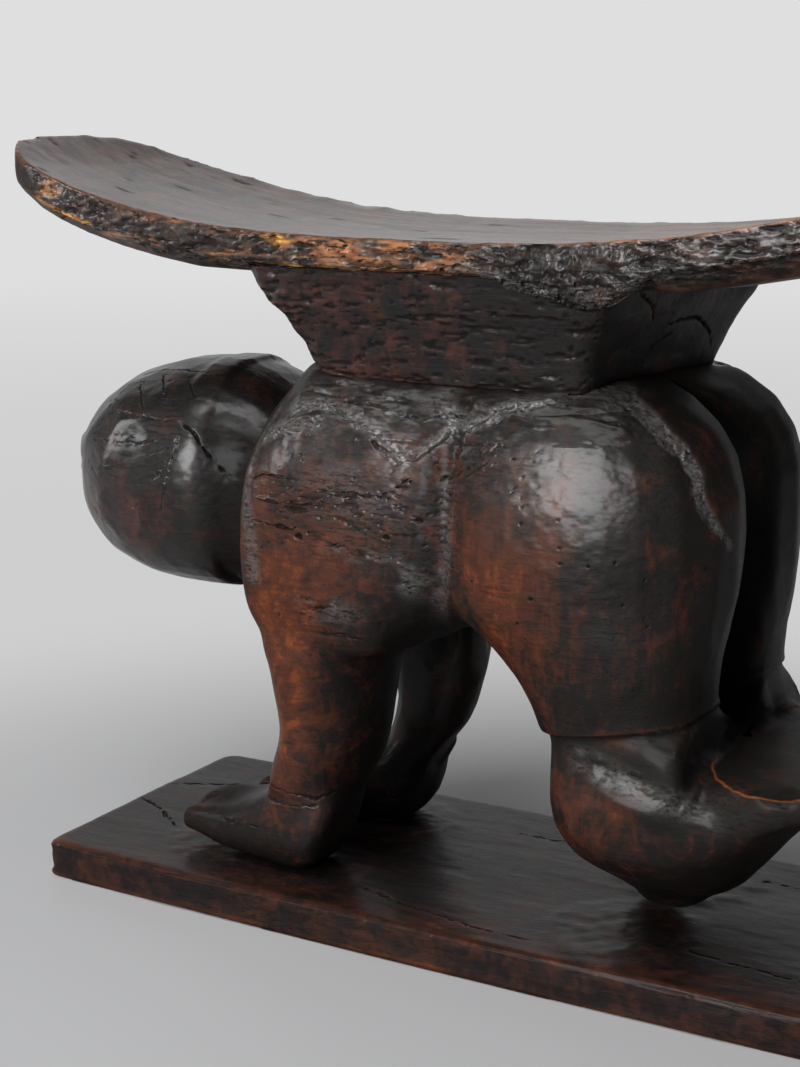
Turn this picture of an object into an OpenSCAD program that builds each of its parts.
// Carved ashanti stool: one log cut into a foot board, a figure on hands and
// knees, a hopper-shaped block on its back and a curved saddle seat.
// Millimetres. X runs along the stool with the head toward -X, Z is up, the
// board stands on z = 0 and the middle of the board is the origin.

/* [Foot board] */

// length of the foot board along X
base_length = 542; // [480:1:600]
// width of the foot board at its two ends
base_width = 212; // [200:1:280]
// thickness of the foot board
base_thick = 25; // [16:1:40]
// how far the long edges bow out at the middle
base_bow = 3; // [0:0.5:14]
// worn slope along the top edges
base_worn = 5; // [1:0.5:8]

/* [Carved figure] */

// height of the figure from the board to the underside of the block
figure_height = 318; // [260:1:380]
// length of the figure from the chest to the heels
figure_length = 310; // [280:1:320]
// width across the haunches
figure_width = 204; // [180:1:208]
// how far the neck carries the head out in front of the chest
neck_reach = 37; // [26:1:48]
// width of the head from ear to ear
head_width = 144; // [126:1:160]
// how far the right arm stands behind the left one
arm_stagger = 10; // [0:1:16]

/* [Block under the seat] */

// height of the block
block_height = 52; // [30:1:80]
// length of the block along its foot
block_foot_length = 188; // [160:1:196]
// width of the block across its foot
block_foot_width = 140; // [110:1:146]
// length of the block along its head
block_head_length = 256; // [200:1:270]
// width of the block across its head
block_head_width = 188; // [150:1:196]
// how far the rear end of the block is cut out of square
block_skew = 15; // [0:1:18]

/* [Seat] */

// length of the seat from tip to tip
seat_length = 644; // [600:1:700]
// width of the seat at the middle
seat_width = 206; // [200:1:260]
// thickness of the seat at its middle line, before it is dished
seat_thick = 27; // [20:1:40]
// height of the tips above the middle of the rim
seat_rise = 50; // [30:1:70]
// depth of the dish in the sitting face
seat_dish = 8; // [2:0.5:12]
// thickness of the outer rim
seat_rim = 21; // [14:0.5:26]

/* [Hidden] */

// plan scale of the figure against the sizes it is drawn at
fl = figure_length / 310;
fw = figure_width / 204;
fh = figure_height / 318;
// levels and planes where the carved members meet
back_level = base_thick + figure_height;
seat_level = back_level + block_height;
rim_level = seat_level + seat_thick;
waist = 24;
knee_plane = 168;
chest_plane = -128;
arm_level = 175;
wrist_level = 78;
ring = 32;

// a drawn point of the figure, put to its real size
function P(p) = [p[0] * fl, p[1] * fw, base_thick + (p[2] - 25) * fh];

function sgn(v) = v < 0 ? -1 : 1;
function pw(v, e) = sgn(v) * pow(abs(v), 2 / e);
function lim(v, a, b) = min(max(v, a), b);
function bump(u) = abs(u) >= 1 ? 0 : pow(1 - u * u, 2);

// smooth reading between rows of [place, size, size, ...]
function row(k, t, i = 0) = i >= len(k) - 2 || t <= k[i + 1][0] ? i : row(k, t, i + 1);
function lean(a, b, j) = (b[j] - a[j]) / (b[0] - a[0]);
function at(k, t) =
    let (i = row(k, t))
    let (p = k[max(i - 1, 0)])
    let (a = k[i])
    let (b = k[i + 1])
    let (q = k[min(i + 2, len(k) - 1)])
    let (w = b[0] - a[0])
    let (u = lim((t - a[0]) / w, 0, 1))
    [for (j = [0:len(a) - 1])
        let (m = lean(p, b, j) * w)
        let (n = lean(a, q, j) * w)
        a[j] * (1 + u * u * (2 * u - 3)) + b[j] * u * u * (3 - 2 * u)
            + m * u * (1 - u) * (1 - u) - n * u * u * (1 - u)];

// closed skin over a run of rings that all have the same number of points
module skin(rings) {
    n = len(rings[0]);
    m = len(rings);
    first = mid(rings[0]);
    last = mid(rings[m - 1]);
    points = concat([for (r = rings) each r], [first, last]);
    sides = [for (i = [0:m - 2]) for (j = [0:n - 1])
        let (k = (j + 1) % n)
        each [[i * n + j, i * n + k, (i + 1) * n + j], [i * n + k, (i + 1) * n + k, (i + 1) * n + j]]];
    caps = [for (j = [0:n - 1])
        let (k = (j + 1) % n)
        each [[m * n, k, j], [m * n + 1, (m - 1) * n + j, (m - 1) * n + k]]];
    polyhedron(points, concat(sides, caps), convexity = 8);
}

function mid(r) = [for (j = [0:2]) (min([for (p = r) p[j]]) + max([for (p = r) p[j]])) / 2];

// level ring from front, rear, outer and inner reach round a centre
function level_ring(s, z) =
    [for (i = [0:ring - 1])
        let (t = -360 * (i + 0.5) / ring)
        [(s[1] + s[2]) / 2 + pw(cos(t), s[5]) * (s[2] - s[1]) / 2,
            (s[3] + s[4]) / 2 + pw(sin(t), s[5]) * (s[4] - s[3]) / 2, z]];

// reach of four joined quarter curves, stopped by two walls that meet in a corner
function reach(a, minus_c, plus_c, minus_d, plus_d, e, wall_c, wall_d) =
    let (c = abs(cos(a)) / (cos(a) < 0 ? minus_c : plus_c))
    let (d = abs(sin(a)) / (sin(a) < 0 ? minus_d : plus_d))
    min(pow(pow(c, e) + pow(d, e), -1 / e),
        cos(a) * sgn(wall_c) > 0.001 ? wall_c / cos(a) : 1000,
        sin(a) * sgn(wall_d) > 0.001 ? wall_d / sin(a) : 1000);

// foot board

function board_half(x) = base_width / 2 + base_bow * (1 - pow(2 * x / base_length, 2));

function board_ring(z, cut) =
    let (a = base_length / 2 - cut)
    let (steps = 12)
    let (side = board_half(a) - cut)
    let (xs = [for (i = [0:steps]) (a - 9) * (2 * i / steps - 1)])
    concat([for (x = xs) [x, cut - board_half(x), z]],
        [[a - 3, 3 - side, z], [a, 9 - side, z], [a, side - 9, z], [a - 3, side - 3, z]],
        [for (x = xs) [-x, board_half(x) - cut, z]],
        [[3 - a, side - 3, z], [-a, side - 9, z], [-a, 9 - side, z], [3 - a, 3 - side, z]]);

module base_plank() {
    color("saddlebrown")
    skin([board_ring(base_thick, base_worn),
        board_ring(base_thick - base_worn * 0.4, base_worn * 0.35),
        board_ring(base_thick - base_worn, 0),
        board_ring(2, 0),
        board_ring(0, 1.5)]);
}

// torso rows: place along X, half width, top, underside, squareness
torso_rows = [
    [-128, 76, 316, 190, 2.2],
    [-123, 87, 320, 172, 2.4],
    [-117, 92, 326, 120, 2.5],
    [-110, 93.5, 333, 95, 2.6],
    [-98, 95.5, 345, 90, 2.8],
    [-82, 97, 356, 90, 3],
    [-60, 98, 362, 95, 3],
    [-36, 98.5, 365, 110, 3],
    [-18, 98.5, 366, 168, 2.8],
    [0, 98, 366, 184, 2.7],
    [24, 97, 364, 191, 2.7]];

function torso_ring(x) =
    let (s = at(torso_rows, x))
    [for (i = [0:ring - 1])
        let (t = -360 * (i + 0.5) / ring)
        let (z = 242 + pw(sin(t), s[4]) * (sin(t) > 0 ? s[2] - 242 : 242 - s[3]))
        P([x, pw(cos(t), s[4]) * s[1], lim(z, arm_level, 343)])];

module torso() {
    color("sienna")
    skin([for (x = [-128, -125.5, -122, -117, -109, -98, -85, -70, -54, -36, -27, -18, -8, 4, 14, waist])
        torso_ring(x)]);
}

// neck rows: share of the way from head to chest, half width, top, underside
neck_rows = [
    [0, 64, 332, 190],
    [0.5, 59, 326, 190],
    [1, 59, 314, 192]];

function neck_ring(u) =
    let (s = at(neck_rows, u))
    [for (i = [0:ring - 1])
        let (t = -360 * (i + 0.5) / ring)
        let (z = (s[2] + s[3]) / 2 + pw(sin(t), 2.3) * (s[2] - s[3]) / 2)
        let (p = P([chest_plane, pw(cos(t), 2.3) * s[1], z]))
        [p[0] - (1 - u) * neck_reach, p[1], p[2]]];

module neck() {
    color("sienna")
    skin([for (u = [0:0.2:1]) neck_ring(u)]);
}

// head rows: height, reach to the front, reach to the rear, half width
head_rows = [
    [188, 42, 8, 14],
    [190, 62, 14, 28],
    [194, 81, 26, 40],
    [201, 101, 40, 51],
    [211, 115, 44, 59],
    [231, 127, 46, 68],
    [254, 131, 46, 72],
    [277, 128, 46, 71],
    [300, 113, 44, 63],
    [312, 99, 38, 53],
    [323, 77, 28, 40],
    [330, 54, 14, 27],
    [334, 30, 4, 12]];

// the carved face, as a height over the plain head; y across, z up
function face(y, z) =
    let (v = abs(y))
    let (brow = 3.2 * bump((v - 24) / 27) * bump((z - 277 + v * v / 260) / 7))
    let (socket = -3.4 * bump((v - 25) / 19) * bump((z - 262) / 13))
    let (lid = 4.4 * bump((v - 25) / 14) * bump((z - 261) / 7))
    let (slit = -1.6 * bump((v - 25) / 12) * bump((z - 260 - v * v / 900) / 2.4))
    let (nose = 8 * bump(v / (6 + (280 - z) * 0.13)) * lim((282 - z) / 34, 0, 1) * lim((z - 233) / 7, 0, 1))
    let (wing = 3.2 * bump((v - 9) / 6) * bump((z - 239) / 6))
    let (lips = 3.4 * bump(v / 19) * (bump((z - 224) / 5.5) + bump((z - 215) / 5.5)))
    let (chin = 3 * bump(v / 22) * bump((z - 197) / 13))
    let (cheek = 2 * bump((v - 34) / 20) * bump((z - 236) / 20))
    let (flat = -5 * bump(y / 62) * bump((z - 250) / 75))
    brow + socket + lid + slit + nose + wing + lips + chin + cheek + flat;

// low ear at the side of the head: a raised rim round a shallow hollow
function ear(x, z) =
    let (d = norm([x / 10, z / 17]))
    3.6 * bump((d - 0.72) / 0.45) - 0.8 * bump(d / 0.5);

// cropped hair standing a little above the brow and behind the ears
function hair(x, y, z) = 2 * lim((z - 294 - x * 0.5) / 4, 0, 1);

function head_x() = chest_plane * fl - neck_reach;

function head_ring(z) =
    let (s = at(head_rows, z))
    let (n = 48)
    let (cx = (s[2] - s[1]) / 2 + 10)
    [for (i = [0:n - 1])
        let (t = -360 * (i + 0.5) / n + 26 * sin(2 * 360 * (i + 0.5) / n) / 2)
        let (x = cx + pw(cos(t), 2.15) * (cos(t) < 0 ? s[1] + cx : s[2] - cx))
        let (y = pw(sin(t), 2.15) * s[3])
        let (front = lim((-x - 60) / 30, 0, 1))
        let (side = lim(abs(y) / 40 - 0.9, 0, 1))
        let (h = front * face(y, z) + side * ear(x + 82, z - 254) + hair(x + 60, y, z))
        let (r = max(norm([x - cx, y]), 1))
        let (px = x - front * h + (1 - front) * h * (x - cx) / r)
        let (py = y * (1 + (1 - front) * h / r))
        [head_x() + min(px, 0), py * head_width / 144, P([0, 0, z])[2]]];

module head() {
    color("sienna")
    skin([for (z = [188, 189.5, 193, 199, 205, 211, 215, 219.5, 224, 229, 234, 239, 245, 251, 256,
        260, 264, 270, 276, 282, 289, 297, 305, 313, 320, 326, 331, 334]) head_ring(z)]);
}

// arm rows: height, front, rear, outer, inner, squareness
arm_rows = [
    [78, -112, -64, -86, -28, 2.4],
    [90, -109, -57, -88, -27, 2.4],
    [110, -107, -49, -90, -26, 2.4],
    [138, -110, -43, -93, -25, 2.4],
    [164, -114, -39, -97, -23, 2.5],
    [175, -117, -37, -98, -22, 2.6]];

module arm() {
    color("sienna")
    skin([for (z = [78, 85, 92, 100, 110, 122, 136, 150, 163, 175])
        let (s = at(arm_rows, z))
        [for (p = level_ring(s, z))
            P([p[0] + 0.3 * (p[1] - (s[3] + s[4]) / 2), p[1], z])]]);
}

// hand rows: place along X, outer side, inner side, top, underside
hand_rows = [
    [-192, -65, -8, 36, 28],
    [-188, -67, -6, 43, 25],
    [-178, -69, -5, 48, 25],
    [-160, -72, -6, 55, 25],
    [-140, -75, -9, 64, 25],
    [-120, -79, -15, 76, 25],
    [-108, -82, -20, 90, 25],
    [-90, -83, -23, 92, 25],
    [-80, -83, -25, 92, 33],
    [-70, -80, -30, 92, 52],
    [-64, -76, -34, 92, 68]];

// four fingers: grooves fade out over the knuckles, tips are rounded
function hand_ring(x) =
    let (s = at(hand_rows, x))
    let (tip = lim((-150 - x) / 30, 0, 1))
    [for (i = [0:31])
        let (t = -360 * (i + 0.5) / 32)
        let (v = pw(cos(t), 3.2))
        let (y = (s[1] + s[2]) / 2 + v * (s[2] - s[1]) / 2)
        let (c = abs(((v + 1) * 2) % 1 - 0.5) * 2)
        let (h = (s[3] - s[4]) / 2 * (sin(t) > 0 ? 1 - 0.5 * tip * pow(c, 3) : 1))
        let (z = (s[3] + s[4]) / 2 + pw(sin(t), 2.8) * h)
        P([x + 9 * tip * pow(c, 3), y, lim(z, 25, wrist_level)])];

module hand() {
    color("sienna")
    skin([for (x = [-192, -190, -186, -180, -171, -158, -144, -130, -117, -105, -92, -81, -72, -64])
        hand_ring(x)]);
}

// thigh rows: height, front, rear, outer, inner at the rear, inner at the front,
// centre along X, centre across, squareness
thigh_rows = [
    [145, 69, 167, -95, -11, -11, 118, -53, 2.6],
    [160, 64, 168, -97, -12, -12, 116, -54, 2.6],
    [175, 56, 169.5, -99, -11, -11, 112, -54, 2.6],
    [190, 42, 171, -100, -9, -9, 105, -53, 2.6],
    [202, 26, 173, -101, -6, -5, 95, -51, 2.5],
    [215, 4, 175, -101.5, -2, 10, 76, -52, 2.5],
    [228, -10, 177.5, -102, 4, 40, 72, -48, 2.4],
    [250, -18, 179, -102, 6, 70, 70, -46, 2.4],
    [275, -20, 179, -101, 7, 80, 70, -46, 2.4],
    [300, -18, 174.5, -98, 8, 80, 70, -46, 2.4],
    [320, -16, 162, -94, 12, 80, 70, -46, 2.4],
    [334, -12, 142, -88, 20, 80, 70, -46, 2.4],
    [343, -8, 118, -80, 30, 80, 70, -46, 2.5]];

function thigh_ring(z) =
    let (s = at(thigh_rows, z))
    let (cy = z < 214 ? s[7] : waist - s[6])
    [for (i = [0:ring - 1])
        let (t = -360 * i / ring)
        let (inner = cos(t) > 0 ? s[4] : s[5])
        let (r = reach(t, s[6] - s[1], s[2] - s[6], cy - s[3], inner - cy, s[8], waist - s[6], -cy))
        let (x = s[6] + r * cos(t))
        P([x, cy + r * sin(t), z + (hem(x) - 145) * lim((215 - z) / 70, 0, 1)])];

// sloping line of the hem where the thigh ends over the lower leg
function hem(x) = 145 + (x - 70) * 0.21;

module thigh() {
    color("sienna")
    skin([for (z = [145, 160, 175, 187, 196, 205, 215, 229, 246, 265, 285, 305, 321, 334, 343])
        thigh_ring(z)]);
}

// lower leg rows: height, front, rear, outer, inner, centre along X, centre
// across, squareness
leg_rows = [
    [25, 110, 136, -6, 6, 123, -3, 2],
    [28, 107, 142, -9, 9, 124, -4.5, 2.2],
    [34, 104, 149, -15, 15, 126, -7.5, 2.4],
    [42, 101, 158, -27, 27, 130, -13, 2.4],
    [50, 99, 167, -42, 36, 133, -21, 2.4],
    [60, 97, 190, -63, 40, 135, -33, 2.4],
    [70, 94, 208, -79, 30, 129, -39, 2.4],
    [82, 85, 218, -90, 18, 124, -44, 2.5],
    [96, 79, 225, -98, 12, 120, -48, 2.5],
    [111, 76, 240, -100, 8, 120, -48, 2.5],
    [125, 74, 240, -98, 6, 120, -48, 2.5],
    [136, 73, 210, -97, 2, 120, -48, 2.5],
    [145, 73, 168, -94, -8, 120, -48, 2.6]];

function leg_ring(z) =
    let (s = at(leg_rows, z))
    let (cy = z < 55 ? s[6] : s[5] - knee_plane)
    [for (i = [0:ring - 1])
        let (t = -360 * i / ring)
        let (c = s[5])
        let (r = reach(t, c - s[1], s[2] - c, cy - s[3], s[4] - cy, s[7], knee_plane - c, -cy))
        let (x = s[5] + r * cos(t))
        P([x, cy + r * sin(t), z + (hem(x) - 145) * lim((z - 84) / 61, 0, 1)])];

module lower_leg() {
    color("sienna")
    skin([for (z = [25, 28, 33, 40, 48, 56, 63, 70, 77, 84, 95, 110, 124, 136, 141, 145])
        leg_ring(z)]);
}

// foot rows, sole turned up: place along X, outer reach, height of that reach,
// underside, height the side would round up to, upper and lower squareness
foot_rows = [
    [168, -97, 102, 52, 142, 2, 1.4],
    [176, -95, 103, 56, 143, 2.3, 1.45],
    [186, -94, 104, 64, 148, 2.6, 1.5],
    [197, -93, 106, 78, 158, 3, 1.6],
    [209, -92, 112, 93, 170, 3, 1.8],
    [222, -91, 119, 106, 176, 3, 2],
    [236, -88, 124, 115, 176, 3, 2],
    [250, -81, 127, 121, 176, 3, 2],
    [258, -71, 129, 125, 176, 3, 2],
    [263, -57, 131, 128, 176, 3, 2]];
sole_level = 138;

function foot_ring(x) =
    let (s = at(foot_rows, x))
    let (g = sole_level - s[2])
    [for (i = [0:ring - 1])
        let (t = -360 * i / ring)
        let (e = sin(t) > 0 ? s[5] : s[6])
        let (r = reach(t, -g - s[1], 200, s[2] - s[3], s[4] - s[2], e, g, g))
        P([x, -g + r * cos(t), s[2] + r * sin(t)])];

module foot() {
    color("sienna")
    skin([for (x = [168, 176, 185, 195, 206, 220, 235, 247, 255, 260, 263]) foot_ring(x)]);
}

module left_arm() arm();
module right_arm() translate([arm_stagger * fl, 0, 0]) mirror([0, 1, 0]) arm();
module left_hand() hand();
module right_hand() translate([arm_stagger * fl, 0, 0]) mirror([0, 1, 0]) hand();
module left_thigh() thigh();
module right_thigh() mirror([0, 1, 0]) thigh();
module left_lower_leg() lower_leg();
module right_lower_leg() mirror([0, 1, 0]) lower_leg();
module left_foot() foot();
module right_foot() mirror([0, 1, 0]) foot();

// block on the back, flared from foot to head

function block_ring(u) =
    let (s = pow(u, 1.25))
    let (a = block_foot_length / 2 + s * (block_head_length - block_foot_length) / 2)
    let (b = block_foot_width / 2 + s * (block_head_width - block_foot_width) / 2)
    [for (i = [0:ring - 1])
        let (t = -360 * (i + 0.5) / ring)
        let (x = pw(cos(t), 13))
        let (y = pw(sin(t), 13) * b)
        [14 - 8 * u + x * a + max(x, 0) * y * block_skew / 94, y, back_level + u * block_height]];

module carrying_block() {
    color("saddlebrown")
    skin([for (u = [0:0.2:1]) block_ring(u)]);
}

// saddle seat: level of the rim and of the underside along X

function rim(x) = rim_level + seat_rise * pow(abs(2 * x / seat_length), 2.7);
function under(x) = seat_level + max(rim(x) - rim(block_head_length / 2 + 22), 0);

// seat section at x: flat belly, rounded up to the rim, dished on top
function seat_ring(a) =
    let (x = sgn(a) * seat_length / 2 * sqrt(sin(abs(a))))
    let (w = seat_width / 2 * sqrt(max(cos(a), 0.0006)))
    let (low = under(x))
    let (edge = rim(x) - seat_rim)
    let (half = 10)
    concat(
        [for (i = [0:half]) let (v = -1 + 2 * i / half)
            [x, v * 0.975 * w, rim(x) - seat_dish * (1 - v * v) * pow(2 * w / seat_width, 2)]],
        [[x, w, rim(x) - 3], [x, w, edge + 1]],
        [for (i = [0:half]) let (v = 1 - 2 * i / half)
            [x, v * 0.975 * w, low + (edge - low) * pow(abs(v), 9)]],
        [[x, -w, edge + 1], [x, -w, rim(x) - 3]]);

module seat() {
    color("peru")
    skin([for (a = [-88.5, -86, -82, -76, -69, -61, -52, -43, -34, -26, -19, -13, -8.5, -7.6, -4.5,
        -1.6, 1.6, 4.5, 7.6, 8.5, 13, 19, 26, 34, 43, 52, 61, 69, 76, 82, 86, 88.5]) seat_ring(a)]);
}

base_plank();
left_hand();
right_hand();
left_arm();
right_arm();
left_lower_leg();
right_lower_leg();
left_foot();
right_foot();
left_thigh();
right_thigh();
torso();
neck();
head();
carrying_block();
seat();
